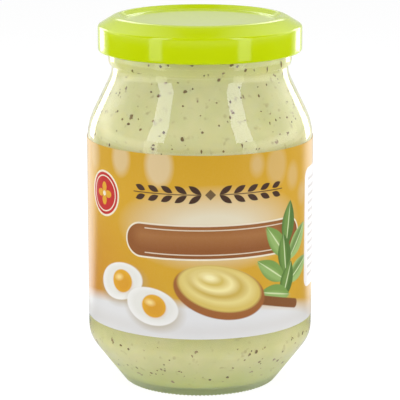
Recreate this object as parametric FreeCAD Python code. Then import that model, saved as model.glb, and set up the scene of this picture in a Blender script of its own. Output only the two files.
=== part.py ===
import FreeCAD, Part
import math
import os

# Family jar of mayonnaise: a blown glass jar with a twist-off mouth, its contents, the painted
# tinplate lid with its cast-in sealing ring, and a paper label wrapped round the straight wall.
# Millimetres. The jar stands on Z = 0 and its axis is the Z axis. The front faces -Y.

# ---- Overall sizes ------------------------------------------------------------------------
overall_height = 110.0
body_radius = 33.5

# ---- Glass: outside, from the base up ------------------------------------------------------
base_radius = 22.8
heel_rounding = 1.2
bearing_width = 2.0
push_up = 2.6
cone_height = 14.0
cone_rounding = 8.5
shoulder_height = 15.2
shoulder_rounding = 19.0
neck_step = 0.85
neck_height = 2.6
neck_rounding = 8.5
bead_step = 0.35
bead_height = 3.0
bead_rounding = 0.7
groove_rounding = 0.5

# ---- Glass: mouth --------------------------------------------------------------------------
finish_radius = 26.9
lip_outer_rounding = 1.2
lip_inner_rounding = 0.8
ramp_count = 4
ramp_depth = 1.2
ramp_top_drop = 2.05
ramp_rise = 3.0
ramp_root_width = 2.2
ramp_crest_width = 0.9
ramp_angle = 76.0
ramp_level_angle = 26.0
ramp_end_angle = 7.0
ramp_end_depth = 0.05
ramp_root_sink = 0.4
ramp_slope_sections = 4

# ---- Glass: inside -------------------------------------------------------------------------
wall = 2.5
base_thickness = 3.6
floor_rounding = 5.0
floor_flat = 6.0

# ---- Contents ------------------------------------------------------------------------------
headspace = 7.0

# ---- Lid -----------------------------------------------------------------------------------
sheet = 0.25
curl_radius = 0.8
curl_clearance = 0.4
lid_gap = 0.8
shoulder_drop = 2.95
rim_width = 1.3
rim_outer_rounding = 4.0
rim_inner_rounding = 0.6
skirt_rounding = 0.95
shoulder_run = 4.8
recess_depth = 1.25
recess_taper = 1.8
recess_rounding = 1.5
lug_angle = 15.0
lug_engagement = 0.6
lug_height = 1.1
lug_gap = 0.2
lug_position = 12.0

# ---- Sealing ring --------------------------------------------------------------------------
ring_thickness = 1.35
ring_overhang = 0.6

# ---- Label ---------------------------------------------------------------------------------
label_thickness = 0.1
label_bottom_margin = 6.5
label_top_margin = 3.7
label_overlap_width = 6.0
label_seam_angle = 90.0

# ---- Sizes that follow from the ones above ---------------------------------------------------
lip_z = overall_height - sheet - ring_thickness
neck_radius = finish_radius - neck_step
bead_radius = finish_radius + bead_step
ramp_radius = finish_radius + ramp_depth
lid_radius = ramp_radius + curl_clearance + 2 * curl_radius
lug_radius = ramp_radius - lug_engagement
curl_inner_radius = lid_radius - 2 * curl_radius

shoulder_z = overall_height - shoulder_drop
rim_outer_radius = lid_radius - shoulder_run
rim_inner_radius = rim_outer_radius - rim_width
panel_radius = rim_inner_radius - recess_taper

# The lugs of the lid catch under the low ends of the ramps, which start at this height.
ramp_bottom_z = lip_z - ramp_top_drop - ramp_rise - ramp_root_width
lug_top_z = ramp_bottom_z - lug_gap
lug_bottom_z = lug_top_z - lug_height
lid_bottom_z = lug_bottom_z - sheet

bead_top_z = lid_bottom_z - lid_gap
bead_bottom_z = bead_top_z - bead_height
neck_z = bead_bottom_z - neck_height
shoulder_start_z = neck_z - shoulder_height
fill_z = lip_z - headspace

label_bottom_z = cone_height + label_bottom_margin
label_top_z = shoulder_start_z - label_top_margin

SAME_POINT = 1e-6
UP = FreeCAD.Vector(0, 0, 1)
ORIGIN = FreeCAD.Vector(0, 0, 0)


def point(radius, z):
    """A point of a half section, which is drawn in the XZ plane."""
    return FreeCAD.Vector(radius, 0, z)


def line(start, end):
    return Part.LineSegment(point(*start), point(*end)).toShape()


def line_between(start, end):
    """The line between two points as a list, empty where an arc already ends at the second one."""
    if start.distanceToPoint(end) < SAME_POINT:
        return []
    return [Part.LineSegment(start, end).toShape()]


def heading(start, end):
    """Direction of a run of a path, in radians."""
    return math.atan2(end[1] - start[1], end[0] - start[0])


def turn_at(before, corner, after):
    """How far the path turns at a corner, in radians: positive to the left."""
    return math.remainder(heading(corner, after) - heading(before, corner), 2 * math.pi)


def offset_path(path, distance):
    """Shift a path of (radius, z, rounding) corners to its left, keeping its runs parallel."""
    headings = [heading(start, end) for start, end in zip(path, path[1:])]
    headings = headings[:1] + headings + headings[-1:]
    shifted = []
    for (radius, z, rounding), heading_in, heading_out in zip(path, headings, headings[1:]):
        turn = math.remainder(heading_out - heading_in, 2 * math.pi)
        middle = heading_in + turn / 2
        reach = distance / math.cos(turn / 2)
        if rounding > 0:
            rounding = max(rounding - math.copysign(distance, turn), 0.0)
        shifted.append((radius - reach * math.sin(middle), z + reach * math.cos(middle), rounding))
    return shifted


def rounded_path(path):
    """Edges along (radius, z, rounding) corners, each corner rounded by an arc.

    Where two arcs would meet on a short run, both are cut back so that they fit on it.
    """
    corners = [point(radius, z) for radius, z, rounding in path]
    turns = [turn_at(*three) for three in zip(path, path[1:], path[2:])]
    turns = [0.0] + turns + [0.0]
    tangents = [corner[2] * math.tan(abs(turn) / 2) for corner, turn in zip(path, turns)]
    edges = []
    start = corners[0]
    for i in range(1, len(path) - 1):
        ahead = corners[i + 1] - corners[i]
        behind = corners[i - 1] - corners[i]
        share_ahead = ahead.Length / max(tangents[i] + tangents[i + 1], SAME_POINT)
        share_behind = behind.Length / max(tangents[i] + tangents[i - 1], SAME_POINT)
        tangent = tangents[i] * min(1.0, share_ahead, share_behind)
        ahead.normalize()
        behind.normalize()
        arc_start = corners[i] + behind * tangent
        arc_end = corners[i] + ahead * tangent
        edges += line_between(start, arc_start)
        if tangent > 0:
            # The arc's middle lies on the bisector, short of the corner.
            half_turn = abs(turns[i]) / 2
            short_by = tangent * (1 / math.cos(half_turn) - 1) / math.tan(half_turn)
            bisector = (ahead + behind).normalize()
            edges.append(Part.Arc(arc_start, corners[i] + bisector * short_by, arc_end).toShape())
        start = arc_end
    return edges + line_between(start, corners[-1])


def dome_arc(edge_radius, edge_z, rise):
    """Arc of a shallow dome, from its crown on the axis down to its edge."""
    sphere_radius = (edge_radius ** 2 + rise ** 2) / (2 * rise)
    half_radius = edge_radius / 2
    drop = sphere_radius - math.sqrt(sphere_radius ** 2 - half_radius ** 2)
    crown = point(0, edge_z + rise)
    halfway = point(half_radius, edge_z + rise - drop)
    return Part.Arc(crown, halfway, point(edge_radius, edge_z)).toShape()


def revolve(edges, angle=360.0):
    """Solid of revolution of a closed section about the jar's axis."""
    wire = Part.Wire(Part.__sortEdges__(edges))
    return Part.Face(wire).revolve(ORIGIN, UP, angle)


def ring_section(inner_radius, outer_radius, low_z, high_z):
    corners = [(inner_radius, low_z), (outer_radius, low_z), (outer_radius, high_z), (inner_radius, high_z)]
    return [line(start, end) for start, end in zip(corners, corners[1:] + corners[:1])]


def turned(shape, angle):
    copy = shape.copy()
    copy.rotate(ORIGIN, UP, angle)
    return copy


# ---- Glass jar -----------------------------------------------------------------------------
# The wall follows the outside at an even thickness from the floor to the neck, as blown glass does.
wall_path = [
    (base_radius, 0.0, 0.0),
    (body_radius, cone_height, cone_rounding),
    (body_radius, shoulder_start_z, shoulder_rounding),
    (neck_radius, neck_z, neck_rounding),
    (neck_radius, lip_z, 0.0),
]
bore_path = offset_path(wall_path, wall)
bore_radius = bore_path[-1][0]
foot_radius = base_radius - heel_rounding - bearing_width
floor_crown_z = push_up + base_thickness
floor_edge_z = base_thickness


def bore_edge(floor_z):
    """Where the floor of the jar meets the inside of the lower cone."""
    (low_radius, low_z, _), (high_radius, high_z, _) = bore_path[0], bore_path[1]
    return low_radius + (high_radius - low_radius) * (floor_z - low_z) / (high_z - low_z)


floor_edge_radius = bore_edge(floor_edge_z)
floor_run_radius = floor_edge_radius - floor_flat


def inside_path(top_z):
    """Inside of the jar from its domed floor up to a level in the neck."""
    floor = [(floor_run_radius, floor_edge_z, 0.0), (floor_edge_radius, floor_edge_z, floor_rounding)]
    return floor + bore_path[1:-1] + [(bore_radius, top_z, 0.0)]


def make_jar():
    outside = [(foot_radius, 0.0, 0.0), (base_radius, 0.0, heel_rounding)] + wall_path[1:-1]
    mouth = [
        (neck_radius, bead_bottom_z, groove_rounding),
        (bead_radius, bead_bottom_z, bead_rounding),
        (bead_radius, bead_top_z, 0.0),
        (finish_radius, bead_top_z, 0.0),
        (finish_radius, lip_z, lip_outer_rounding),
        (bore_radius, lip_z, lip_inner_rounding),
    ]
    edges = [dome_arc(foot_radius, 0.0, push_up)]
    edges += rounded_path(outside + mouth + inside_path(lip_z)[-2::-1])
    edges += [dome_arc(floor_run_radius, floor_edge_z, floor_crown_z - floor_edge_z)]
    edges += [line((0, push_up), (0, floor_crown_z))]
    jar = revolve(edges)
    for i in range(ramp_count):
        jar = jar.fuse(turned(make_ramp(), 360.0 / ramp_count * i))
    return jar.removeSplitter()


# ---- Ramps of the mouth ----------------------------------------------------------------------
def make_ramp():
    """One sloping ramp on the mouth: level at its low end, where a lug of the lid locks under it."""
    root_radius = finish_radius - ramp_root_sink
    low_z = ramp_bottom_z + ramp_root_width / 2

    def section(angle, depth, rise):
        crest_radius = finish_radius + depth
        half_root = ramp_root_width / 2
        half_crest = ramp_crest_width / 2
        corners = [(root_radius, -half_root), (crest_radius, -half_crest), (crest_radius, half_crest),
                   (root_radius, half_root)]
        points = [point(radius, low_z + rise + z) for radius, z in corners]
        wire = Part.makePolygon(points + points[:1])
        wire.rotate(ORIGIN, UP, angle)
        return wire

    slope = ramp_rise / (ramp_angle - ramp_level_angle)
    slope_step = (ramp_angle - ramp_end_angle - ramp_level_angle) / (ramp_slope_sections - 1)
    sections = [section(0.0, ramp_end_depth, 0.0), section(ramp_end_angle, ramp_depth, 0.0)]
    for i in range(ramp_slope_sections):
        sections.append(section(ramp_level_angle + slope_step * i, ramp_depth, slope * slope_step * i))
    sections.append(section(ramp_angle, ramp_end_depth, ramp_rise))
    return Part.makeLoft(sections, True, False)


# ---- Contents --------------------------------------------------------------------------------
def make_mayonnaise():
    edges = rounded_path(inside_path(fill_z))
    edges += [dome_arc(floor_run_radius, floor_edge_z, floor_crown_z - floor_edge_z)]
    edges += [line((0, floor_crown_z), (0, fill_z)), line((0, fill_z), (bore_radius, fill_z))]
    return revolve(edges)


# ---- Lid -------------------------------------------------------------------------------------
lid_path = [
    (0.0, overall_height - recess_depth, 0.0),
    (panel_radius, overall_height - recess_depth, recess_rounding),
    (rim_inner_radius, overall_height, rim_inner_rounding),
    (rim_outer_radius, overall_height, rim_outer_rounding),
    (lid_radius, shoulder_z, skirt_rounding),
    (lid_radius, lid_bottom_z, curl_radius),
    (curl_inner_radius, lid_bottom_z, curl_radius),
    (curl_inner_radius, lug_top_z, 0.0),
]
lid_under_path = offset_path(lid_path, -sheet)


def make_lid_shell():
    """The lid is one sheet: a closed section between its outer path and the path of its underside."""
    edges = rounded_path(lid_path) + rounded_path(lid_under_path)
    edges += [line(lid_path[i][:2], lid_under_path[i][:2]) for i in (0, -1)]
    return revolve(edges)


def make_lug():
    """One lug: a stretch of the curled edge pressed flat towards the glass."""
    section = ring_section(lug_radius, curl_inner_radius + sheet, lug_bottom_z, lug_top_z)
    return turned(revolve(section, lug_angle), -lug_angle / 2)


def make_lid():
    lid = make_lid_shell()
    for i in range(ramp_count):
        lid = lid.fuse(turned(make_lug(), 360.0 / ramp_count * i + lug_position))
    return lid.removeSplitter()


# ---- Sealing ring ----------------------------------------------------------------------------
def make_sealing_ring():
    """Soft compound cast into the lid's channel: it fills the channel down to the lip."""
    inner_radius = bore_radius + lip_inner_rounding / 2
    outer_radius = finish_radius + ring_overhang
    blank = revolve(ring_section(inner_radius, outer_radius, lip_z, overall_height))
    skirt_inside = lid_under_path[-3][0]
    space = lid_under_path[:-3] + [(skirt_inside, lid_bottom_z, 0.0), (0.0, lid_bottom_z, 0.0)]
    under = rounded_path(space) + [line(space[-1][:2], space[0][:2])]
    return blank.common(revolve(under))


# ---- Label -----------------------------------------------------------------------------------
def make_label():
    """Wrap-round label: a full turn, with its outer end lapped over the start at the back."""
    wrap_radius = body_radius + label_thickness
    wrap = revolve(ring_section(body_radius, wrap_radius, label_bottom_z, label_top_z))
    lap_radius = wrap_radius + label_thickness
    lap_angle = math.degrees(label_overlap_width / wrap_radius)
    lap = revolve(ring_section(wrap_radius, lap_radius, label_bottom_z, label_top_z), lap_angle)
    return wrap.fuse(turned(lap, label_seam_angle - lap_angle / 2)).removeSplitter()


nodes = {
    "glass_jar": make_jar,
    "mayonnaise": make_mayonnaise,
    "lid": make_lid,
    "sealing_ring": make_sealing_ring,
    "label": make_label,
}

os.makedirs("parts", exist_ok=True)
for name, make in nodes.items():
    shape = make()
    box = shape.optimalBoundingBox()
    print(f"{name}: {len(shape.Solids)} solid, volume {shape.Volume / 1000:.2f} ml, "
          f"Z {box.ZMin:.2f} to {box.ZMax:.2f}, radius {box.XMax:.2f}, valid {shape.isValid()}")
    shape.exportStep(os.path.join("parts", f"{name}.step"))
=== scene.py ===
# %% [markdown]
# # A jar of mayonnaise
#
# This lesson models the looks of a family jar of mayonnaise with whole-grain mustard: a clear glass
# jar, its contents with mustard seeds, a lime twist-off lid and a printed paper label.
#
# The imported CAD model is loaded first. It fixes every size: each piece below is made where its CAD
# node is, in metres, with +Z up and the front of the jar facing -Y.

# %% Load the frame
import math
import random

import bmesh
import bpy
from mathutils import Matrix, Vector, noise


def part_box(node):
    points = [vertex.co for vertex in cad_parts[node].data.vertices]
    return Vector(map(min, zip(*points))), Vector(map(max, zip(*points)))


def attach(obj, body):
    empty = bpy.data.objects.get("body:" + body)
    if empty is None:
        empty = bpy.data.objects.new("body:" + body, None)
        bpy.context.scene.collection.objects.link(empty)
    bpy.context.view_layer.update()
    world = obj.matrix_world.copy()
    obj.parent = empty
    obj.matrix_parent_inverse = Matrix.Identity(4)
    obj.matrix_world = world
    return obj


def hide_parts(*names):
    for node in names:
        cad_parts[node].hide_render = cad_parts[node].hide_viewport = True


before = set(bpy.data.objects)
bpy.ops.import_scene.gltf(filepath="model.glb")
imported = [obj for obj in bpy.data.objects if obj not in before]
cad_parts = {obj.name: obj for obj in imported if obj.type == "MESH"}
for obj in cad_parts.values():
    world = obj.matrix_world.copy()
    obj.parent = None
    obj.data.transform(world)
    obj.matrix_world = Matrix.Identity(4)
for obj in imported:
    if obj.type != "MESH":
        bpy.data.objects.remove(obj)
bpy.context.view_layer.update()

print("nodes:", sorted(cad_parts))

# %% [markdown]
# ## Sizes
#
# The big sizes come from the boxes of the CAD nodes, so that nothing has to be fitted afterwards.
# The small ones, such as a wall or a rounding, don't show in a box, so they are named here. They
# are in millimetres times `MM`, because the scene is in metres.

# %% Sizes of the jar
MM = 0.001

body_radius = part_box("glass_jar")[1].x
lip_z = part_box("glass_jar")[1].z
top_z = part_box("lid")[1].z
lid_bottom_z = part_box("lid")[0].z
lid_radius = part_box("lid")[1].x
fill_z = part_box("mayonnaise")[1].z
label_low_z, label_high_z = (corner.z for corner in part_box("label"))

wall = 2.5 * MM
base_radius = 22.8 * MM
heel_rounding = 1.2 * MM
foot_radius = 19.6 * MM
push_up = 2.6 * MM
base_thickness = 3.6 * MM
cone_height = 14.0 * MM
shoulder_start_z = 78.0 * MM
neck_z = 93.2 * MM
neck_radius = 26.05 * MM
bead_bottom_z = 95.8 * MM
bead_top_z = 98.8 * MM
bead_radius = 27.25 * MM
finish_radius = 26.9 * MM
print(f"the jar is {body_radius * 2000:.1f} mm across and {top_z * 1000:.1f} mm high with its lid")

# %% [markdown]
# ## Turned shapes
#
# Everything here is round, so one way of working makes nearly every piece: draw half of the section
# as a wire, then turn it about the jar's axis. A screw modifier on a curve would do that too, but
# `bmesh.ops.spin` gives the finished mesh at once, and the same operator, turning a single vertex,
# also draws the true arcs that round the section's corners.
#
# A section is a list of corners, each with a radius, a height and a rounding.

# %% Draw a section
ARC_STEP = math.radians(9)


def heading(start, end):
    """Direction of the run from start to end."""
    return math.atan2(end[1] - start[1], end[0] - start[0])


def turn_between(before, corner, after):
    """How far the path turns at a corner, to the left if above 0."""
    return math.remainder(heading(corner, after) - heading(before, corner), 2 * math.pi)


def draw_section(bm, corners):
    """Join (radius, height, rounding) corners into a wire in the XZ plane, rounded with arcs."""
    tip = bm.verts.new((corners[0][0], 0, corners[0][1]))
    for before, corner, after in zip(corners, corners[1:], corners[2:]):
        radius, height, rounding = corner
        turn = turn_between(before, corner, after)
        way = heading(before, corner)
        tangent = rounding * math.tan(abs(turn) / 2)
        start = (radius - tangent * math.cos(way), height - tangent * math.sin(way))
        arc_start = bm.verts.new((start[0], 0, start[1]))
        bm.edges.new((tip, arc_start))
        tip = arc_start
        if rounding > 0:
            side = math.copysign(rounding, turn)
            centre = (start[0] - side * math.sin(way), 0, start[1] + side * math.cos(way))
            steps = max(2, round(abs(turn) / ARC_STEP))
            arc = bmesh.ops.spin(bm, geom=[tip], cent=centre, axis=(0, -1, 0),
                                 angle=turn, steps=steps)
            tip = next(part for part in arc["geom_last"] if isinstance(part, bmesh.types.BMVert))
    last = bm.verts.new((corners[-1][0], 0, corners[-1][1]))
    bm.edges.new((tip, last))


def parallel(corners, distance):
    """The same path, shifted to its left with its runs kept parallel."""
    ways = [heading(start, end) for start, end in zip(corners, corners[1:])]
    ways = ways[:1] + ways + ways[-1:]
    shifted = []
    for (radius, height, rounding), way_in, way_out in zip(corners, ways, ways[1:]):
        turn = math.remainder(way_out - way_in, 2 * math.pi)
        middle = way_in + turn / 2
        reach = distance / math.cos(turn / 2)
        if rounding > 0:
            rounding = max(rounding - math.copysign(distance, turn), 0.0)
        aside, up = -reach * math.sin(middle), reach * math.cos(middle)
        shifted.append((radius + aside, height + up, rounding))
    return shifted


def dome(edge_radius, edge_z, rise):
    """Crown, rounded corner and edge of a shallow dome about the axis."""
    sphere = (edge_radius ** 2 + rise ** 2) / (2 * rise)
    corner = sphere * math.tan(math.asin(edge_radius / sphere) / 2)
    crown_z = edge_z + rise
    return [(0.0, crown_z, 0.0), (corner, crown_z, sphere), (edge_radius, edge_z, 0.0)]


print(f"arcs are drawn in steps of {math.degrees(ARC_STEP):.0f} degrees")

# %% Turn a section into a mesh
WELD = 1e-7


def turn_section(bm, steps):
    """Spin the wire in bm right round the axis, weld its seam and poles, and face it outwards."""
    bmesh.ops.remove_doubles(bm, verts=bm.verts, dist=WELD)
    bmesh.ops.spin(bm, geom=bm.verts[:] + bm.edges[:], cent=(0, 0, 0), axis=(0, 0, 1),
                   angle=2 * math.pi, steps=steps, use_merge=True)
    bmesh.ops.remove_doubles(bm, verts=bm.verts, dist=WELD)
    bmesh.ops.recalc_face_normals(bm, faces=bm.faces)


def sweep(bm, corners, start, angle, steps):
    """Spin a face with (radius, height) corners part of the way round, from the angle start."""
    first = Matrix.Rotation(start, 3, "Z")
    face = bm.faces.new([bm.verts.new(first @ Vector((radius, 0, z))) for radius, z in corners])
    bmesh.ops.spin(bm, geom=[face], cent=(0, 0, 0), axis=(0, 0, 1), angle=angle, steps=steps)


print(f"vertices closer than {WELD / MM:.4f} mm are welded")

# %% [markdown]
# A mesh becomes an object in the scene, and a finished piece also says which body carries it and
# what it is made of, and the CAD node that it stands for is hidden. The object itself stays at the
# origin, unturned, since its place is in its mesh. Smooth shading hides the facets, and edges
# sharper than a given angle stay crisp.

# %% Finish a piece
def add_object(bm, name, material):
    """Put the mesh in bm into the scene as an object."""
    mesh = bpy.data.meshes.new(name)
    bm.to_mesh(mesh)
    bm.free()
    mesh.materials.append(material)
    thing = bpy.data.objects.new(name, mesh)
    bpy.context.scene.collection.objects.link(thing)
    return thing


def finish_piece(bm, name, material, node=None, sharp=35):
    """Make the mesh in bm a smooth-shaded piece that rides on the jar and stands for a CAD node."""
    piece = add_object(bm, name, material)
    mesh = piece.data
    mesh.shade_smooth()
    mesh.set_sharp_from_angle(angle=math.radians(sharp))
    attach(piece, "root")
    if node:
        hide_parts(node)
    triangles = sum(len(face.vertices) - 2 for face in mesh.polygons)
    print(f"{name}: {triangles} triangles")
    return piece


print("every piece rides on the body root")

# %% [markdown]
# ## Materials
#
# A material is a small tree of nodes. A few helpers keep the trees readable: `add_node` makes a
# node and sets its sockets, `calc` makes a maths node from numbers or other sockets, and `ramp`
# turns a stretch of values into a share from 0 to 1. Colours are written as the 0 to 255 values
# seen on a screen, and `ink` turns them into the linear values that light needs.

# %% Node helpers
def ink(red, green, blue):
    """Screen colour to linear RGBA."""
    def linear(value):
        share = value / 255
        return share / 12.92 if share <= 0.04045 else ((share + 0.055) / 1.055) ** 2.4

    return (linear(red), linear(green), linear(blue), 1.0)


def grey(level):
    """Linear grey of a level from 0 to 1."""
    return (level, level, level, 1.0)


def add_node(tree, kind, sockets=None, **settings):
    """A node, with each socket linked to another socket or set to a value."""
    node = tree.nodes.new(kind)
    for name, value in settings.items():
        setattr(node, name, value)
    for name, value in (sockets or {}).items():
        if isinstance(value, bpy.types.NodeSocket):
            tree.links.new(value, node.inputs[name])
        else:
            node.inputs[name].default_value = value
    return node


def calc(tree, operation, *values, clamp=False):
    """The result of a maths node."""
    sockets = dict(enumerate(values))
    node = add_node(tree, "ShaderNodeMath", sockets, operation=operation, use_clamp=clamp)
    return node.outputs[0]


def blend_colours(tree, share, below, above):
    """The colour below where share is 0, and the one above where it is 1."""
    node = add_node(tree, "ShaderNodeMix", data_type="RGBA", clamp_factor=True)
    for name, value in (("Factor_Float", share), ("A_Color", below), ("B_Color", above)):
        socket = next(one for one in node.inputs if one.identifier == name)
        if isinstance(value, bpy.types.NodeSocket):
            tree.links.new(value, socket)
        else:
            socket.default_value = value
    return next(one for one in node.outputs if one.identifier == "Result_Color")


def ramp(tree, value, low, high):
    """0 at low, 1 at high, straight between."""
    return calc(tree, "MULTIPLY_ADD", value, 1 / (high - low), -low / (high - low), clamp=True)


print("node helpers ready")


# %% Material helpers
def new_material(name, **sockets):
    """A material with one Principled shader, its sockets named with _ for each space."""
    material = bpy.data.materials.new(name)
    material.use_nodes = True
    tree = material.node_tree
    shader = tree.nodes["Principled BSDF"]
    for socket, value in sockets.items():
        shader.inputs[socket.replace("_", " ")].default_value = value
    return material, tree, shader


def place(tree):
    """Where a point lies on the object, in metres."""
    return add_node(tree, "ShaderNodeTexCoord").outputs["Object"]


def speckle(tree, scale, detail=2.0):
    """Soft noise with about scale spots to a metre."""
    sockets = {"Vector": place(tree), "Scale": scale, "Detail": detail, "Roughness": 0.5}
    return add_node(tree, "ShaderNodeTexNoise", sockets).outputs["Fac"]


def add_relief(tree, shader, height, depth):
    """Bump, with the height of its relief in metres."""
    bump = add_node(tree, "ShaderNodeBump", {"Height": height, "Distance": depth, "Strength": 1.0})
    tree.links.new(bump.outputs["Normal"], shader.inputs["Normal"])


def let_light_by(tree, shader, colour, share=1.0):
    """Let a share of the light that goes on to light or shade other things straight through."""
    ray = add_node(tree, "ShaderNodeLightPath").outputs
    unseen = calc(tree, "MAXIMUM", ray["Is Shadow Ray"], ray["Is Diffuse Ray"])
    clear = add_node(tree, "ShaderNodeBsdfTransparent", {"Color": colour})
    mix = add_node(tree, "ShaderNodeMixShader", {"Fac": calc(tree, "MULTIPLY", unseen, share)})
    tree.links.new(shader.outputs[0], mix.inputs[1])
    tree.links.new(clear.outputs[0], mix.inputs[2])
    tree.links.new(mix.outputs[0], tree.nodes["Material Output"].inputs["Surface"])


print("material helpers ready")

# %% [markdown]
# ### Glass
#
# Cheap jar glass is clear across its thin wall and green where it is looked at edge-on, as at the
# base. A tinted surface would colour both alike, so the tint is an absorption inside the glass,
# which grows with the length of the path. Light and shadow on the contents pass straight through
# the wall: only what the eye sees and mirrors is bent, which keeps the picture free of noise. A
# moulded wall is never quite even, so a low, slow relief bends the lights on it a little.

# %% Glass
WAVINESS = 0.06 * MM
GLASS_TINT = (0.30, 0.80, 0.20, 1.0)
TINT_DENSITY = 6.0


def make_glass():
    material, tree, shader = new_material(
        "jar_glass", Base_Color=grey(1.0), Roughness=0.0, IOR=1.5, Transmission_Weight=1.0)
    let_light_by(tree, shader, (0.97, 0.98, 0.96, 1.0))
    add_relief(tree, shader, speckle(tree, 70.0, 0.0), WAVINESS)
    sockets = {"Color": GLASS_TINT, "Density": TINT_DENSITY}
    tint = add_node(tree, "ShaderNodeVolumeAbsorption", sockets)
    tree.links.new(tint.outputs[0], tree.nodes["Material Output"].inputs["Volume"])
    return material


jar_glass = make_glass()
print("glass ready")

# %% [markdown]
# ### Contents, seeds, lid and seal
#
# The mayonnaise is a smooth emulsion, pale yellow with cloudy spots where seeds lie just below the
# surface. Light enters it and comes out a few millimetres on, which is what subsurface scattering
# does, and yellow travels further in it than blue. Light and shade are also painted into its colour
# by height: it is painted paler in the neck, where the lid shades it, painted darker towards the
# foot, where it lies in shade, and painted greener and lighter right at the foot, for the light that
# comes up through the thick green base glass.
# Seeds and hulls are browns that drift from one seed to the next.
#
# The lid is lime enamel baked on thin steel: very smooth, with the faintest orange peel. The
# sealing compound in the lid is soft and matt.

# %% Contents
SCATTERING = 4.0 * MM


def make_mayonnaise_finish():
    material, tree, shader = new_material(
        "mustard_mayonnaise", Roughness=0.4, Specular_IOR_Level=0.1, Subsurface_Weight=1.0,
        Subsurface_Radius=(1.0, 0.85, 0.45), Subsurface_Scale=SCATTERING)
    clouds = ramp(tree, speckle(tree, 140.0, 3.0), 0.273, 0.727)
    tone = blend_colours(tree, clouds, ink(210, 207, 150), ink(221, 215, 164))
    buried = calc(tree, "MULTIPLY", ramp(tree, speckle(tree, 480.0, 1.0), 0.65, 0.775), 0.5)
    tone = blend_colours(tree, buried, tone, ink(172, 156, 112))
    height = add_node(tree, "ShaderNodeSeparateXYZ", {"Vector": place(tree)}).outputs["Z"]
    for start_z, full_z, colour in (
            # painted light: paler in the neck, where the lid's skirt shades the contents
            (neck_z - 1.0 * MM, neck_z + 4.0 * MM, ink(232, 228, 160)),
            # painted shade: darker from 12 mm down towards the foot, where the contents lie in shade
            (12.0 * MM, 2.0 * MM, ink(198, 203, 128)),
            # painted light and tint: greener and lighter at the foot, for light coming up through
            # the green base glass
            (3.2 * MM, 1.6 * MM, ink(172, 204, 74))):
        tone = blend_colours(tree, ramp(tree, height, start_z, full_z), tone, colour)
    tree.links.new(tone, shader.inputs["Base Color"])
    return material


mustard_mayonnaise = make_mayonnaise_finish()
print("contents ready")


# %% Seeds and hulls, enamel and seal
ORANGE_PEEL = 0.004 * MM


def make_seed_finish(name, dark, light):
    material, tree, shader = new_material(name, Roughness=0.55, Specular_IOR_Level=0.2)
    drift = ramp(tree, speckle(tree, 260.0, 1.0), 0.375, 0.625)
    tone = blend_colours(tree, drift, ink(*dark), ink(*light))
    grain = calc(tree, "MULTIPLY", speckle(tree, 5000.0), 0.35)
    tree.links.new(blend_colours(tree, grain, tone, ink(*dark)), shader.inputs["Base Color"])
    return material


def make_enamel():
    material, tree, shader = new_material("lime_enamel", Roughness=0.11, Specular_IOR_Level=0.5)
    tone = blend_colours(tree, speckle(tree, 30.0, 1.0), ink(191, 210, 0), ink(195, 214, 0))
    tree.links.new(tone, shader.inputs["Base Color"])
    add_relief(tree, shader, speckle(tree, 900.0, 1.0), ORANGE_PEEL)
    return material


def make_compound():
    material, tree, shader = new_material("seal_compound", Roughness=0.7)
    tone = blend_colours(tree, speckle(tree, 900.0), ink(226, 224, 216), ink(236, 234, 228))
    tree.links.new(tone, shader.inputs["Base Color"])
    return material


seed_skin = make_seed_finish("seed_skin", (108, 88, 56), (150, 126, 86))
hull_skin = make_seed_finish("hull_skin", (142, 122, 84), (188, 164, 130))
lime_enamel = make_enamel()
seal_compound = make_compound()
print("seeds, enamel and seal ready")

# %% [markdown]
# ## The glass jar
#
# A jar is blown in a mould, so its wall keeps an even thickness: the inside is the outside's path,
# moved in by the wall. Just under the lid runs a rounded bead, by which the jar is carried while it
# is still hot. The base is pushed up, so that the jar stands on a ring, and that ring is knurled,
# which keeps the hot base from cooling unevenly. Those ridges are what sparkles round the foot.

# %% Path of the wall
TURNS = 240

wall_path = [
    (base_radius, 0.0, 0.0),
    (body_radius, cone_height, 8.5 * MM),
    (body_radius, shoulder_start_z, 19.0 * MM),
    (neck_radius, neck_z, 8.5 * MM),
    (neck_radius, lip_z, 0.0),
]


def inside_path(depth, end_z):
    """Inside of the jar at a depth below its outer face, from the floor's crown up to end_z."""
    path = parallel(wall_path, depth)
    (low_radius, low_z, _), (high_radius, high_z, _) = path[:2]
    floor_z = base_thickness - (wall - depth)
    edge_radius = low_radius + (high_radius - low_radius) * (floor_z - low_z) / (high_z - low_z)
    floor = dome(edge_radius - 6.0 * MM, floor_z, push_up)
    return floor + [(edge_radius, floor_z, 5.0 * MM)] + path[1:-1] + [(path[-1][0], end_z, 0.0)]


print(f"the wall is {wall / MM:.1f} mm thick and the base {base_thickness / MM:.1f} mm")

# %% Glass jar
RIDGE_DEPTH = 0.25 * MM
RIDGE_LIFT = 0.15 * MM


def knurl_foot(bm):
    """Press fine radial ridges into the ring that the jar stands on."""
    margin = 0.5 * MM
    for vert in bm.verts:
        radius = math.hypot(vert.co.x, vert.co.y)
        on_ring = foot_radius - margin < radius < base_radius + margin
        if on_ring and vert.co.z < heel_rounding:
            turn = round(math.atan2(vert.co.y, vert.co.x) / (2 * math.pi) * TURNS)
            if turn % 2:
                vert.co.x *= 1 - RIDGE_DEPTH / radius
                vert.co.y *= 1 - RIDGE_DEPTH / radius
                vert.co.z += RIDGE_LIFT


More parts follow.
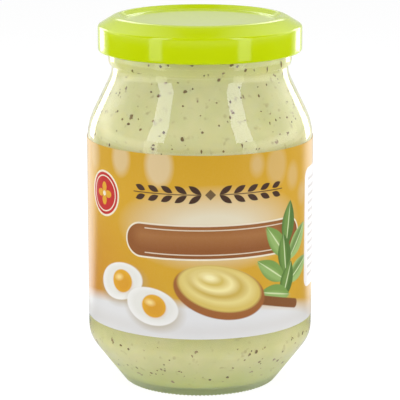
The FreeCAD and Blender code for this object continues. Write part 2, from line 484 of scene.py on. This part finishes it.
def make_jar():
    bore = inside_path(wall, lip_z)
    bore_radius = bore[-1][0]
    foot = dome(foot_radius, 0.0, push_up) + [(base_radius, 0.0, heel_rounding)]
    finish = [
        (neck_radius, bead_bottom_z, 0.35 * MM),
        (finish_radius - 0.1 * MM, bead_bottom_z, 0.3 * MM),
        (bead_radius, (bead_bottom_z + bead_top_z) / 2, 4.0 * MM),
        (finish_radius, bead_top_z, 0.0),
        (finish_radius, lip_z, 1.2 * MM),
        (bore_radius, lip_z, 0.8 * MM),
    ]
    bm = bmesh.new()
    draw_section(bm, foot + wall_path[1:-1] + finish + bore[-2::-1])
    turn_section(bm, TURNS)
    knurl_foot(bm)
    finish_piece(bm, "glass_jar_clear", jar_glass, "glass_jar")


make_jar()

# %% [markdown]
# ## The contents
#
# The mayonnaise touches the glass all over. If its surface lay on the glass's inner face, or short
# of it, the renderer would find a film of air there and mirror in it. So its surface reaches a
# twentieth of a millimetre into the wall: the eye then sees it straight through the glass. Its top
# clings to the glass and sags a little towards the middle.

# %% Mayonnaise
REACH = 0.05 * MM
CLING = 0.4 * MM
SAG = 1.2 * MM


def make_mayonnaise():
    path = inside_path(wall - REACH, fill_z)
    edge_radius = path[-1][0]
    top = [(edge_radius - 3.0 * MM, fill_z - CLING, 2.0 * MM), (0.0, fill_z - SAG, 0.0)]
    bm = bmesh.new()
    draw_section(bm, path + top)
    turn_section(bm, 144)
    return finish_piece(bm, "mayonnaise_filling", mustard_mayonnaise, "mayonnaise")


mayonnaise = make_mayonnaise()

# %% [markdown]
# ## Mustard seeds
#
# Whole-grain mustard leaves dark seeds and paler broken hulls against the glass. Particles would be
# quick, but they aren't real mesh, so each seed is a small ball, squashed, roughened and joined
# into one piece. Each sits on a random spot of the contents' surface, sunk so that only its crown
# shows, and a face's chance of a seed goes with its area. Nothing is put where the label hides it.
#
# Operators may list a mesh's faces in another order each time, so the faces are sorted by the
# numbers of their corners first. With the random numbers seeded too, each run gives the same jar.

# %% Spots for seeds
random.seed(12)


def open_faces(mesh):
    """Faces of the contents' side that show through bare glass, in a fixed order."""
    margin = 2.0 * MM
    low, high = label_low_z + margin, label_high_z - margin
    faces = [face for face in mesh.polygons
             if face.normal.z > -0.7
             and face.center.z < lid_bottom_z
             and not low < face.center.z < high]
    return sorted(faces, key=lambda face: sorted(face.vertices))


def random_spot(mesh, face):
    """Random spot on a face, counted from its corner with the lowest number."""
    turn = list(face.vertices)
    start = turn.index(min(turn))
    first, second, third = (mesh.vertices[turn[(start + i) % len(turn)]].co for i in (0, 1, 2))
    return first + (second - first) * random.random() + (third - second) * random.random()


print(len(open_faces(mayonnaise.data)), "faces show through bare glass")

# %% Seeds and hulls
LUMPS = 1400.0


def drop_in(heap, bm):
    """Move the mesh in bm into the heap."""
    mesh = bpy.data.meshes.new("loose")
    bm.to_mesh(mesh)
    bm.free()
    heap.from_mesh(mesh)
    bpy.data.meshes.remove(mesh)


def scatter(name, material, mesh, count, lengths, flatness, sunk, lumpy):
    """Seeds of uneven length, most of them small, each sunk into the face it lies on."""
    faces = open_faces(mesh)
    areas = [face.area for face in faces]
    shortest, longest = lengths
    heap = bmesh.new()
    for face in random.choices(faces, weights=areas, k=count):
        length = (shortest + (longest - shortest) * random.random() ** 1.5) * MM
        width = length * random.uniform(0.5, 0.95)
        depth = length * flatness
        upright = face.normal.to_track_quat("Z", "Y").to_matrix().to_4x4()
        spin = Matrix.Rotation(random.uniform(0, math.pi), 4, "Z")
        size = Matrix.Diagonal((length / 2, width / 2, depth / 2, 1.0))
        centre = random_spot(mesh, face) - face.normal * (depth / 2 * sunk)
        seed = bmesh.new()
        bmesh.ops.create_uvsphere(seed, u_segments=8, v_segments=5, radius=1.0,
                                  matrix=Matrix.Translation(centre) @ upright @ spin @ size)
        for vert in seed.verts:
            vert.co += noise.noise_vector(vert.co * LUMPS) * length * lumpy
        drop_in(heap, seed)
    finish_piece(heap, name, material, sharp=180)


scatter("mustard_seeds", seed_skin, mayonnaise.data, count=260, lengths=(0.6, 1.6),
        flatness=0.5, sunk=0.55, lumpy=0.14)
scatter("mustard_hulls", hull_skin, mayonnaise.data, count=280, lengths=(0.5, 2.0),
        flatness=0.22, sunk=0.85, lumpy=0.22)

# %% [markdown]
# ## The lid
#
# A twist-off lid is one sheet of tinplate: a sunk panel, a rim over the jar's lip, a sloping
# shoulder, a straight skirt and a curled edge with four lugs pressed in from it. One path gives its
# outer face and the same path, a sheet's thickness in, gives its inner face.

# %% Path of the lid
SHEET = 0.25 * MM
CURL = 0.8 * MM

rim_outer = lid_radius - 4.8 * MM
rim_inner = rim_outer - 1.3 * MM
recess_z = top_z - 1.25 * MM
lug_top_z = lid_bottom_z + 1.35 * MM
curl_inner = lid_radius - 2 * CURL
lid_path = [
    (0.0, recess_z, 0.0),
    (rim_inner - 1.8 * MM, recess_z, 1.5 * MM),
    (rim_inner, top_z, 0.6 * MM),
    (rim_outer, top_z, 4.0 * MM),
    (lid_radius, top_z - 2.95 * MM, 0.95 * MM),
    (lid_radius, lid_bottom_z, CURL),
    (curl_inner, lid_bottom_z, CURL),
    (curl_inner, lug_top_z, 0.0),
]


print(f"the panel lies {(top_z - recess_z) / MM:.2f} mm below the rim")

# %% Lid
LUGS = 4
LUG_REACH = 1.0 * MM
LUG_ANGLE = math.radians(15)
FIRST_LUG = math.radians(12)


def add_lug(bm, middle):
    """A stretch of the curled edge pressed in towards the glass."""
    low_z, outer, inner = lid_bottom_z + SHEET, curl_inner + SHEET, curl_inner - LUG_REACH
    corners = [(outer, low_z), (inner, low_z), (inner, lug_top_z), (outer, lug_top_z)]
    sweep(bm, corners, middle - LUG_ANGLE / 2, LUG_ANGLE, 6)


def make_lid():
    bm = bmesh.new()
    draw_section(bm, lid_path + parallel(lid_path, -SHEET)[::-1])
    turn_section(bm, TURNS)
    lugs = bmesh.new()
    for i in range(LUGS):
        add_lug(lugs, 2 * math.pi / LUGS * i + FIRST_LUG)
    bmesh.ops.recalc_face_normals(lugs, faces=lugs.faces)
    drop_in(bm, lugs)
    finish_piece(bm, "twist_off_lid", lime_enamel, "lid")


make_lid()
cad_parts["sealing_ring"].data.materials.clear()
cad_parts["sealing_ring"].data.materials.append(seal_compound)

# %% [markdown]
# ## The printed label
#
# The label is a paper strip wrapped right round, its outer end lapped over the other at the back.
# Its print could be an image, but then it would be a file of its own and would blur up close. Here
# the material itself draws it, in millimetres: `across` runs round the jar from the middle of the
# front, and `up` is the height.
#
# One node group, a stamp, lays a single shape of ink over what is printed already. Inside it a
# short sum is negative within the shape and positive outside, in millimetres, so that an edge can
# be crisp or soft. There are four stamps: an oval, a leaf, a card with rounded corners and a ring.

# %% Shapes of the stamps
def length_of(tree, x, y):
    return calc(tree, "SQRT", calc(tree, "MULTIPLY_ADD", y, y, calc(tree, "MULTIPLY", x, x)))


def half_of(tree, value):
    return calc(tree, "MULTIPLY", value, 0.5)


def oval_shape(tree, x, y, size):
    across = calc(tree, "DIVIDE", x, half_of(tree, size["Width"]))
    up = calc(tree, "DIVIDE", y, half_of(tree, size["Height"]))
    beyond = calc(tree, "SUBTRACT", length_of(tree, across, up), 1.0)
    smaller = calc(tree, "MINIMUM", size["Width"], size["Height"])
    return calc(tree, "MULTIPLY", beyond, half_of(tree, smaller))


def leaf_shape(tree, x, y, size):
    """Between two parabolas that meet in points."""
    across = calc(tree, "DIVIDE", x, half_of(tree, size["Width"]))
    up = calc(tree, "DIVIDE", calc(tree, "ABSOLUTE", y), half_of(tree, size["Height"]))
    beyond = calc(tree, "ADD", calc(tree, "MULTIPLY_ADD", across, across, -1.0), up)
    return calc(tree, "MULTIPLY", beyond, half_of(tree, size["Height"]))


def card_shape(tree, x, y, size):
    beyond = []
    for value, whole in ((x, size["Width"]), (y, size["Height"])):
        inner = calc(tree, "SUBTRACT", half_of(tree, whole), size["Corner"])
        past = calc(tree, "SUBTRACT", calc(tree, "ABSOLUTE", value), inner)
        beyond.append(calc(tree, "MAXIMUM", past, 0.0))
    return calc(tree, "SUBTRACT", length_of(tree, *beyond), size["Corner"])


def ring_shape(tree, x, y, size):
    """Width is the ring's diameter and Height the breadth of its band."""
    off = calc(tree, "SUBTRACT", length_of(tree, x, y), half_of(tree, size["Width"]))
    return calc(tree, "SUBTRACT", calc(tree, "ABSOLUTE", off), half_of(tree, size["Height"]))


SHAPES = {"oval": oval_shape, "leaf": leaf_shape, "card": card_shape, "ring": ring_shape}
print("shapes:", ", ".join(SHAPES))

# %% Stamps
SIZES = ("Across", "Up", "Middle across", "Middle up", "Width", "Height",
         "Tilt", "Corner", "Edge", "Strength")


def make_stamp(name, shape):
    """Node group that lays ink over the print where the shape is."""
    tree = bpy.data.node_groups.new(name, "ShaderNodeTree")
    for socket in SIZES:
        tree.interface.new_socket(socket, in_out="INPUT", socket_type="NodeSocketFloat")
    for socket in ("Below", "Ink"):
        tree.interface.new_socket(socket, in_out="INPUT", socket_type="NodeSocketColor")
    tree.interface.new_socket("Printed", in_out="OUTPUT", socket_type="NodeSocketColor")
    size = add_node(tree, "NodeGroupInput").outputs
    right = calc(tree, "SUBTRACT", size["Across"], size["Middle across"])
    above = calc(tree, "SUBTRACT", size["Up"], size["Middle up"])
    cosine, sine = calc(tree, "COSINE", size["Tilt"]), calc(tree, "SINE", size["Tilt"])
    x = calc(tree, "MULTIPLY_ADD", right, cosine, calc(tree, "MULTIPLY", above, sine))
    y = calc(tree, "MULTIPLY", above, cosine)
    y = calc(tree, "SUBTRACT", y, calc(tree, "MULTIPLY", right, sine))
    depth = calc(tree, "DIVIDE", shape(tree, x, y, size), size["Edge"])
    cover = calc(tree, "MINIMUM", calc(tree, "SUBTRACT", 0.5, depth), 1.0)
    cover = calc(tree, "MULTIPLY", cover, size["Strength"])
    printed = blend_colours(tree, cover, size["Below"], size["Ink"])
    add_node(tree, "NodeGroupOutput", {"Printed": printed})
    return tree


stamps = {name: make_stamp(name, shape) for name, shape in SHAPES.items()}
print(f"a stamp has {len(stamps['oval'].nodes)} nodes")


# %% Sheet to print on
class Sheet:
    """The label unrolled, in millimetres; each stamp adds one shape to the print."""

    def __init__(self, tree, ground):
        self.tree = tree
        self.printed = ground
        axes = add_node(tree, "ShaderNodeSeparateXYZ", {"Vector": place(tree)}).outputs
        turn = calc(tree, "ARCTAN2", axes["X"], calc(tree, "MULTIPLY", axes["Y"], -1.0))
        self.across = calc(tree, "MULTIPLY", turn, body_radius / MM)
        self.up = calc(tree, "DIVIDE", axes["Z"], MM)

    def stamp(self, kind, middle, size, colour, tilt=0.0, edge=0.15, strength=1.0, corner=0.05):
        values = (self.across, self.up, *middle, *size, math.radians(tilt), corner, edge, strength)
        sockets = dict(zip(SIZES, values)) | {"Below": self.printed, "Ink": colour}
        group = add_node(self.tree, "ShaderNodeGroup", sockets, node_tree=stamps[kind])
        self.printed = group.outputs[0]


print(f"the sheet is {2 * math.pi * body_radius / MM:.0f} mm long")

# %% [markdown]
# ### What is printed
#
# A generic design: a gold ground with a pale glow and soft spots of light, a garland of leaves, a
# red seal with a flower, a brown plaque, and below them two halves of an egg, a spoon of mayonnaise
# and a sprig of leaves on a white cloth. Round the sides, white cards carry grey bars where a jar
# has its small print. The inks are named once, and what is printed first lies below the rest.

# %% Inks
GOLD = ink(212, 163, 38)
DEEP_GOLD = ink(203, 156, 12)
ORANGE = ink(203, 136, 34)
PALE = ink(228, 222, 196)
BROWN = ink(146, 88, 40)
LIGHT_BROWN = ink(172, 116, 62)
DARK_BROWN = ink(70, 46, 30)
CREAM = ink(238, 228, 200)
WHITE = ink(226, 225, 221)
RED = ink(196, 46, 40)
YOLK = ink(226, 168, 40)
GREENS = (ink(86, 120, 52), ink(124, 158, 76), ink(160, 190, 112))
MIDRIB = ink(206, 220, 164)
GREY = ink(150, 140, 128)
print("gold in linear light:", [round(value, 3) for value in GOLD[:3]])


# %% Grounds
SPOTS = (  # middle, size and strength
    ((24, 70), 9, 0.2), ((31, 66), 6, 0.2), ((17, 71), 5, 0.25), ((36, 60), 5, 0.2),
    ((-25, 72), 8, 0.4), ((-12, 71), 10, 0.45), ((-38, 71), 7, 0.2))


def print_grounds(sheet):
    """Deeper above and more orange at the lower left, a pale glow, and a white cloth below."""
    sheet.stamp("oval", (-2, 80), (60, 20), DEEP_GOLD, edge=16.0, strength=0.9)
    sheet.stamp("oval", (-48, 30), (44, 34), ORANGE, edge=26.0, strength=0.9)
    sheet.stamp("oval", (4, 53), (40, 17), PALE, edge=9.0, strength=0.85)
    for middle, size, strength in SPOTS:
        sheet.stamp("oval", middle, (0.8 * size, 1.2 * size), PALE, edge=1.8, strength=strength)
    sheet.stamp("oval", (-8, 16), (120, 30), WHITE, edge=3.0)
    sheet.stamp("card", (0, 23), (240, 1.0), ink(206, 200, 188), edge=5.0, strength=0.5)


print(len(SPOTS), "spots of light")


# %% Garland and seal
def print_garland(sheet):
    """Two sprays of small leaves that meet at a lozenge."""
    middle, height, step, count = 3.0, 63.0, 4.1, 5
    sheet.stamp("card", (middle, height), (2.2, 2.2), DARK_BROWN, tilt=45.0)
    for side in (-1, 1):
        stem = (middle + side * (2.6 + step * count / 2), height)
        sheet.stamp("card", stem, (step * count, 0.3), DARK_BROWN)
        for i in range(count):
            across = middle + side * (4.4 + step * i)
            for up in (-1, 1):
                spot = (across, height + up * 1.35)
                tilt = side * up * (34.0 - 3.0 * i)
                sheet.stamp("leaf", spot, (4.4 - 0.25 * i, 1.7), DARK_BROWN, tilt=tilt)


def print_seal(sheet):
    """Red seal with cream rings and a four-petalled flower."""
    middle = (-32.5, 60.5)
    sheet.stamp("oval", middle, (13.6, 13.6), CREAM)
    sheet.stamp("oval", middle, (12.4, 12.4), RED)
    sheet.stamp("ring", middle, (10.4, 0.35), CREAM)
    for across, up, tilt in ((1.9, 0, 0), (-1.9, 0, 0), (0, 1.9, 90), (0, -1.9, 90)):
        sheet.stamp("oval", (middle[0] + across, middle[1] + up), (3.0, 2.2), YOLK, tilt=tilt)
    sheet.stamp("oval", middle, (1.5, 1.5), CREAM)


print("garland and seal drawn up")


# %% Plaque
def print_plaque(sheet):
    """Brown plaque with round ends and cream lines."""
    middle = (5.5, 49.0)
    for right, above, size, colour, edge, strength in (
            (0.0, 0.0, (57.0, 10.4), CREAM, 0.15, 1.0),
            (0.0, 0.0, (56.0, 9.4), BROWN, 0.15, 1.0),
            (-3.0, 1.6, (44.0, 4.0), LIGHT_BROWN, 4.0, 0.8),
            (0.0, 3.6, (44.0, 0.3), CREAM, 0.15, 0.8),
            (0.0, -3.6, (44.0, 0.3), CREAM, 0.15, 0.8)):
        spot = (middle[0] + right, middle[1] + above)
        round_end = max(size[1] / 2 - 0.01, 0.05)
        sheet.stamp("card", spot, size, colour, edge=edge, strength=strength, corner=round_end)


print("plaque drawn up")


# %% Eggs and spoon
def print_egg(sheet, middle, tilt):
    """Half an egg, cut side up: shadow, white, and a yolk with a light on it."""
    for right, above, size, colour, edge, strength in (
            (0.6, -1.0, (17.4, 11.4), ink(178, 160, 120), 2.4, 0.6),
            (0.0, 0.0, (16.6, 11.0), ink(240, 238, 230), 0.3, 1.0),
            (0.3, 0.3, (14.6, 9.2), ink(228, 226, 214), 1.5, 0.8),
            (0.8, 0.2, (7.6, 6.8), YOLK, 0.35, 1.0),
            (1.2, -0.6, (6.0, 4.8), ink(214, 146, 30), 2.0, 0.5),
            (-0.4, 1.2, (2.6, 1.6), ink(250, 226, 150), 1.0, 0.8)):
        spot = (middle[0] + right, middle[1] + above)
        sheet.stamp("oval", spot, size, colour, tilt=tilt, edge=edge, strength=strength)


def print_spoon(sheet):
    """Wooden spoon with a swirl of mayonnaise."""
    tilt = -14.0
    sheet.stamp("card", (24.0, 29.6), (20.0, 2.8), ink(134, 84, 40),
                tilt=tilt, edge=0.3, corner=1.3)
    sheet.stamp("oval", (6.0, 34.2), (28.0, 15.4), ink(160, 98, 46), tilt=tilt, edge=0.3)
    sheet.stamp("oval", (6.0, 35.4), (25.4, 13.2), ink(216, 190, 96), tilt=tilt, edge=0.6)
    tones = (ink(230, 212, 132), ink(204, 174, 78), ink(242, 228, 158),
             ink(214, 188, 92), ink(247, 236, 176))
    for i, tone in enumerate(tones):
        shrink = 0.86 - 0.17 * i
        spot = (5.6 - 0.7 * i, 36.0 + 0.7 * i)
        sheet.stamp("oval", spot, (25.4 * shrink, 12.4 * shrink), tone, tilt=tilt, edge=1.4)


print("eggs and spoon drawn up")

# %% Sprig and side cards
LEAVES = (  # middle and tilt
    (29, 52, 82), (24.5, 47, 128), (33.5, 46, 48), (27.5, 43, 96),
    (22.5, 39, 146), (34.0, 37.5, 30), (28.5, 35, 70), (24, 32, 168))


def print_sprig(sheet):
    """Overlapping green leaves, one half paler than the other, each with a pale midrib."""
    for i, (x, y, tilt) in enumerate(LEAVES):
        turn = math.radians(tilt)
        half = (x - 0.7 * math.sin(turn), y + 0.7 * math.cos(turn))
        sheet.stamp("leaf", (x, y), (14.0 - 0.3 * i, 5.6), GREENS[i % 3], tilt=tilt, edge=0.25)
        sheet.stamp("leaf", half, (12.0, 2.6), GREENS[(i + 1) % 3],
                    tilt=tilt, edge=1.2, strength=0.7)
        sheet.stamp("leaf", (x, y), (12.6, 0.45), MIDRIB, tilt=tilt)


def print_side_card(sheet, middle, size, rows):
    """White card with rows of grey bars of uneven length."""
    aside, above = 3.0, 3.5
    sheet.stamp("card", middle, size, ink(236, 232, 226), corner=3.0)
    left, top = middle[0] - size[0] / 2 + aside, middle[1] + size[1] / 2 - above
    for row in range(rows):
        length = (size[0] - 2 * aside) * random.uniform(0.55, 1.0)
        spot = (left + length / 2, top - row * (size[1] - 2 * above) / (rows - 1))
        sheet.stamp("card", spot, (length, 0.8), GREY, edge=0.2, strength=0.75)


print(len(LEAVES), "leaves on the sprig")

# %% [markdown]
# ### The paper
#
# Label paper has a thin gloss coat over its ink. It is also thin enough to glow: light that has
# gone through it still reaches the contents behind, so they don't turn dark along its edges. Only
# light on its way to something else passes here, and the eye always sees the print.

# %% Paper
LIGHT_THROUGH_PAPER = 0.7
FIBRES = 0.003 * MM


def make_label_print():
    material, tree, shader = new_material(
        "printed_paper", Roughness=0.3, Specular_IOR_Level=0.25,
        Coat_Weight=0.5, Coat_Roughness=0.05)
    sheet = Sheet(tree, GOLD)
    print_grounds(sheet)
    print_plaque(sheet)
    print_garland(sheet)
    print_seal(sheet)
    print_egg(sheet, (-25.5, 35.5), 14.0)
    print_egg(sheet, (-14.5, 29.5), -10.0)
    print_sprig(sheet)
    print_spoon(sheet)
    print_side_card(sheet, (60.0, 48.5), (43.0, 36.0), 13)
    print_side_card(sheet, (-71.0, 47.5), (44.0, 44.0), 16)
    fibres = calc(tree, "MULTIPLY", speckle(tree, 2200.0, 1.0), 0.02)
    tone = blend_colours(tree, fibres, sheet.printed, grey(1.0))
    tree.links.new(tone, shader.inputs["Base Color"])
    add_relief(tree, shader, speckle(tree, 1200.0, 1.0), FIBRES)
    let_light_by(tree, shader, grey(1.0), LIGHT_THROUGH_PAPER)
    print("label print:", len(tree.nodes), "nodes")
    return material


printed_paper = make_label_print()

# %% Label
PAPER = 0.085 * MM
GLUE = 0.012 * MM
SEAM = math.radians(90)
LAP = math.radians(10.2)


def add_wrap(bm, inner, start, angle, steps):
    """Lay a strip of paper on the radius inner, round part of the jar."""
    outer = inner + PAPER
    corners = [(inner, label_low_z), (outer, label_low_z),
               (outer, label_high_z), (inner, label_high_z)]
    sweep(bm, corners, start, angle, steps)


def make_label():
    inner = body_radius + GLUE
    bm = bmesh.new()
    add_wrap(bm, inner, SEAM, 2 * math.pi, TURNS)
    add_wrap(bm, inner + PAPER, SEAM - LAP / 2, LAP, 8)
    bmesh.ops.remove_doubles(bm, verts=bm.verts, dist=WELD)
    bmesh.ops.recalc_face_normals(bm, faces=bm.faces)
    finish_piece(bm, "wrap_label", printed_paper, "label")


make_label()

# %% [markdown]
# ## The stage
#
# A pale table in a white room. To the eye and through glass both are white. In mirrors only what
# lies behind the jar is white: the front of the studio is dim, as it is round a real set, or every
# saturated colour would wear a milky veil. The Light Path node tells these rays apart. A bearing
# here is the angle from the front of the jar, to the left or right alike.

# %% Rays and bearings
def ray_kinds(tree):
    """1 for rays that go straight or bent to the eye, and 1 for mirrored ones."""
    ray = add_node(tree, "ShaderNodeLightPath").outputs
    seen = calc(tree, "MAXIMUM", ray["Is Camera Ray"], ray["Is Transmission Ray"])
    return seen, ray["Is Glossy Ray"]


def bearing_of(tree, axes):
    """Angle from the front, 0 to pi either way."""
    back = calc(tree, "MULTIPLY", axes["Y"], -1.0)
    return calc(tree, "ARCTAN2", calc(tree, "ABSOLUTE", axes["X"]), back)


def window(tree, value, low, high, soft):
    """1 from low to high, falling to 0 within soft on either side."""
    rising = ramp(tree, value, low - soft, low)
    falling = ramp(tree, value, high + soft, high)
    return calc(tree, "MULTIPLY", rising, falling)


print("rays and bearings ready")

# %% [markdown]
# The table is lit as any surface is, so it keeps the jar's shadow, with enough glow added that it
# meets the room without a line. In mirrors it has a light of its own: brightest behind the jar to
# the left and right, where the ends of the lid's skirt and the flanks of the glass mirror it, less
# bright straight behind and close to the foot, and white far out.

# %% Table
TABLE_RADIUS = 6.0

LIGHT_BEHIND = 1.3
LIGHT_STRAIGHT_BEHIND = 0.8
LIGHT_NEAR = 0.62
LIGHT_FAR = 0.9

TABLE_GLOW = 0.14
SEEN_GLOW = 0.715
SEEN_FAR_GLOW = 0.08
MIRRORED_LESS = 0.13


def mirrored_light(tree, bearing, distance, far):
    """The light of the table as mirrors show it."""
    behind = ramp(tree, bearing, math.radians(120), math.radians(132))
    behind = calc(tree, "MULTIPLY", behind, ramp(tree, distance, 0.07, 0.12))
    straight = ramp(tree, bearing, math.radians(152), math.radians(158))
    light = calc(tree, "MULTIPLY_ADD", straight, LIGHT_STRAIGHT_BEHIND - LIGHT_BEHIND, LIGHT_BEHIND)
    bright = calc(tree, "MULTIPLY", behind, light)
    for share, level in ((ramp(tree, distance, 0.08, 0.05), LIGHT_NEAR), (far, LIGHT_FAR)):
        bright = calc(tree, "MAXIMUM", bright, calc(tree, "MULTIPLY", share, level))
    return bright


def make_table_finish():
    material, tree, shader = new_material("table_white", Roughness=0.9, Specular_IOR_Level=0.0)
    seen, mirrored = ray_kinds(tree)
    axes = add_node(tree, "ShaderNodeSeparateXYZ", {"Vector": place(tree)}).outputs
    distance = length_of(tree, axes["X"], axes["Y"])
    far = ramp(tree, distance, 0.9, 1.4)
    bright = mirrored_light(tree, bearing_of(tree, axes), distance, far)
    seen_glow = calc(tree, "MULTIPLY_ADD", far, SEEN_FAR_GLOW, SEEN_GLOW)
    glow = calc(tree, "MULTIPLY_ADD", seen, seen_glow, TABLE_GLOW)
    in_mirror = calc(tree, "SUBTRACT", bright, MIRRORED_LESS)
    glow = calc(tree, "MULTIPLY_ADD", mirrored, in_mirror, glow)
    shade = blend_colours(tree, seen, grey(0.8), grey(0.24))
    shade = blend_colours(tree, mirrored, shade, grey(0.02))
    tree.links.new(shade, shader.inputs["Base Color"])
    shader.inputs["Emission Color"].default_value = grey(1.0)
    tree.links.new(glow, shader.inputs["Emission Strength"])
    return material


table_top = bmesh.new()
bmesh.ops.create_circle(table_top, cap_ends=True, segments=96, radius=TABLE_RADIUS)
add_object(table_top, "table", make_table_finish())
print(f"the table is {2 * TABLE_RADIUS:.0f} m across")

# %% [markdown]
# The room is the world itself. It lights softly from all round, and in mirrors it has a white wall
# behind the jar and a dim front. Three patches of light, the same left and right, finish what the
# glass and the lid mirror: a wide one high at the sides, which gives the shoulder of the glass its
# sheen, a low one at the sides, and a narrow one behind, which draws a line along the lid's rim.

# %% Room
PATCHES = (  # strength, bearings and their softness, heights (sine of the elevation) and theirs
    (1.3, (112, 130, 30), (0.22, 1.0, 0.22)),
    (1.7, (62, 106, 18), (-0.1, 0.12, 0.10)),
    (2.4, (167, 173, 3), (0.32, 0.52, 0.04)),
)


def make_room(soft_light, wall, dim):
    """World with one strength for soft light, and others for what mirrors show."""
    world = bpy.data.worlds.new("white_room")
    bpy.context.scene.world = world
    world.use_nodes = True
    tree = world.node_tree
    seen, mirrored = ray_kinds(tree)
    way = add_node(tree, "ShaderNodeTexCoord").outputs["Generated"]
    axes = add_node(tree, "ShaderNodeSeparateXYZ", {"Vector": way}).outputs
    bearing = bearing_of(tree, axes)
    behind = ramp(tree, axes["Y"], 0.3, 0.6)
    in_mirror = calc(tree, "MULTIPLY_ADD", behind, wall - dim, dim)
    for light, bearings, heights in PATCHES:
        across = window(tree, bearing, *map(math.radians, bearings))
        patch = calc(tree, "MULTIPLY", across, window(tree, axes["Z"], *heights))
        in_mirror = calc(tree, "MULTIPLY_ADD", patch, light, in_mirror)
    more = calc(tree, "SUBTRACT", in_mirror, soft_light)
    strength = calc(tree, "MULTIPLY_ADD", mirrored, more, soft_light)
    strength = calc(tree, "MAXIMUM", strength, seen)
    background = tree.nodes["Background"]
    background.inputs["Color"].default_value = grey(1.0)
    tree.links.new(strength, background.inputs["Strength"])


make_room(soft_light=0.46, wall=0.76, dim=0.04)
print(f"the room has {len(PATCHES)} patches of light a side")

# %% [markdown]
# ## Lamps
#
# Two tall soft boxes stand in front, left and right, brighter and a little bluer above: they model
# the jar and leave upright lights on the lid and on the shoulder of the glass. Two more stand
# behind it, out of sight, and draw the white edges that make clear glass readable against a white
# room. A pair at the sides and one overhead light the flanks and the top, and don't show in
# mirrors.

# %% Soft boxes
WHITE_LIGHT = (1.0, 1.0, 1.0)
COOL_LIGHT = (0.94, 0.97, 1.15)


def add_soft_box(name, bearing, distance, width, low_z, high_z, radiance, colour=WHITE_LIGHT):
    """Upright lamp at a bearing in degrees from the front, facing the jar's axis."""
    height = high_z - low_z
    data = bpy.data.lights.new(name, "AREA")
    data.shape = "RECTANGLE"
    data.size = width
    data.size_y = height
    data.energy = radiance * math.pi * width * height
    data.color = colour
    lamp = bpy.data.objects.new(name, data)
    turn = math.radians(bearing)
    lamp.location = (distance * math.sin(turn), -distance * math.cos(turn), (low_z + high_z) / 2)
    lamp.rotation_euler = (math.radians(90.0), 0.0, turn)
    bpy.context.scene.collection.objects.link(lamp)
    print(f"{name}: {data.energy:.2f} W")
    return lamp


# after the name: bearing, distance, width, low and high end, radiance
for side, word in ((-1, "left"), (1, "right")):
    add_soft_box(f"front_low_{word}", side * 49, 0.42, 0.11, 0.0, 0.16, 1.9)
    add_soft_box(f"front_high_{word}", side * 45, 0.42, 0.14, 0.16, 0.62, 3.8, COOL_LIGHT)
    add_soft_box(f"edge_low_{word}", side * 141, 0.60, 0.16, 0.0, 0.13, 4.0)
    add_soft_box(f"edge_high_{word}", side * 144, 0.60, 0.20, 0.13, 0.36, 3.2)
    flank = add_soft_box(f"flank_{word}", side * 104, 0.50, 0.30, 0.0, 0.32, 2.3)
    flank.visible_glossy = False
ceiling = add_soft_box("ceiling", 0.0, 0.0, 0.6, 0.6, 1.2, 1.4)
ceiling.rotation_euler = (0.0, 0.0, 0.0)
ceiling.visible_glossy = False

# %% [markdown]
# ## Camera
#
# A long lens, a little above the lid and looking slightly down, so the jar keeps its straight
# sides.

# %% Camera
CAMERA_BACK = 0.6287
CAMERA_UP = 0.1930
LOOK_DOWN = math.radians(12.45)

camera_data = bpy.data.cameras.new("camera")
camera_data.sensor_width = 36.0
camera_data.lens = 193.5
camera = bpy.data.objects.new("camera", camera_data)
camera.location = (0.0, -CAMERA_BACK, CAMERA_UP)
camera.rotation_euler = (math.radians(90.0) - LOOK_DOWN, 0.0, 0.0)
bpy.context.scene.collection.objects.link(camera)
bpy.context.scene.camera = camera
bpy.context.scene.view_settings.view_transform = "Standard"
print(f"camera {CAMERA_BACK * 1000:.0f} mm in front of the jar's axis")
